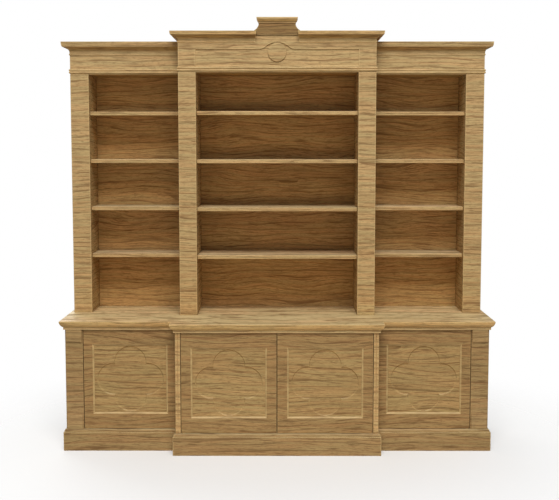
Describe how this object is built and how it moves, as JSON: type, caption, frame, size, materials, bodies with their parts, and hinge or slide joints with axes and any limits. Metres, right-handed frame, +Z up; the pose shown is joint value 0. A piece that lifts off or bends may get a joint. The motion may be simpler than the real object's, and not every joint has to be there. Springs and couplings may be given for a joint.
{
  "type": "miniature bookcase",
  "caption": "Breakfront bookcase for a dolls' house: open shelves with a moulded cornice and crest, over a cupboard base whose hinged doors have sunk quatrefoil panels.",
  "frame": {"origin": "on the floor, at the middle of the overall width and depth", "axes": "+X to the right as seen from the front, +Y from the front to the back, +Z up; the front faces -Y"},
  "size_m": [0.201, 0.0586, 0.1978],
  "materials": {
    "case_oak": "pale waxed oak with fine dark pores and level grain",
    "shelf_oak": "pale waxed oak with fine dark pores and level grain",
    "counter_oak": "pale waxed oak with fine dark pores and level grain",
    "base_oak": "pale waxed oak with fine dark pores and level grain",
    "door_oak": "pale waxed oak with fine dark pores and level grain",
    "back_oak": "darker waxed oak with level grain",
    "hinge_brass": "plain drawn brass"
  },
  "bodies": {
    "case": {"plinth_left": "base_oak", "plinth_centre": "base_oak", "plinth_right": "base_oak", "base_floor": "base_oak", "base_end_left": "base_oak", "base_end_right": "base_oak", "base_partition_left": "base_oak", "base_partition_right": "base_oak", "corner_post_left": "base_oak", "corner_post_right": "base_oak", "base_back": "back_oak", "base_top": "base_oak", "counter": "counter_oak", "end_upright_left": "case_oak", "end_upright_right": "case_oak", "inner_upright_left": "case_oak", "inner_upright_right": "case_oak", "stile_left": "case_oak", "stile_right": "case_oak", "pilaster_left": "case_oak", "pilaster_right": "case_oak", "upper_back": "back_oak", "left_shelf_1": "shelf_oak", "left_shelf_2": "shelf_oak", "left_shelf_3": "shelf_oak", "left_shelf_4": "shelf_oak", "centre_shelf_1": "shelf_oak", "centre_shelf_2": "shelf_oak", "centre_shelf_3": "shelf_oak", "centre_shelf_4": "shelf_oak", "right_shelf_1": "shelf_oak", "right_shelf_2": "shelf_oak", "right_shelf_3": "shelf_oak", "right_shelf_4": "shelf_oak", "left_bay_top": "case_oak", "centre_bay_top": "case_oak", "right_bay_top": "case_oak", "left_frieze": "case_oak", "centre_frieze": "case_oak", "right_frieze": "case_oak", "frieze_roundel": "case_oak", "astragal": "case_oak", "top_boards": "case_oak", "left_cornice": "case_oak", "centre_cornice": "case_oak", "right_cornice": "case_oak", "crest_block": "case_oak", "crest_cap": "case_oak"},
    "left_wing_door": {"left_wing_door_frame": "door_oak", "left_wing_door_panel": "door_oak", "left_wing_door_pins": "hinge_brass"},
    "left_centre_door": {"left_centre_door_frame": "door_oak", "left_centre_door_panel": "door_oak", "left_centre_door_pins": "hinge_brass"},
    "right_centre_door": {"right_centre_door_frame": "door_oak", "right_centre_door_panel": "door_oak", "right_centre_door_pins": "hinge_brass"},
    "right_wing_door": {"right_wing_door_frame": "door_oak", "right_wing_door_panel": "door_oak", "right_wing_door_pins": "hinge_brass"}
  },
  "joints": [
    {"name": "left_wing_hinge", "type": "hinge", "parent": "case", "child": "left_wing_door", "pos_m": [-0.08725, -0.0177, 0.033], "axis": [0, 0, -1], "range_deg": [0, 100]},
    {"name": "left_centre_hinge", "type": "hinge", "parent": "case", "child": "left_centre_door", "pos_m": [-0.04215, -0.026, 0.033], "axis": [0, 0, -1], "range_deg": [0, 100]},
    {"name": "right_centre_hinge", "type": "hinge", "parent": "case", "child": "right_centre_door", "pos_m": [0.04215, -0.026, 0.033], "axis": [0, 0, 1], "range_deg": [0, 100]},
    {"name": "right_wing_hinge", "type": "hinge", "parent": "case", "child": "right_wing_door", "pos_m": [0.08725, -0.0177, 0.033], "axis": [0, 0, 1], "range_deg": [0, 100]}
  ]
}
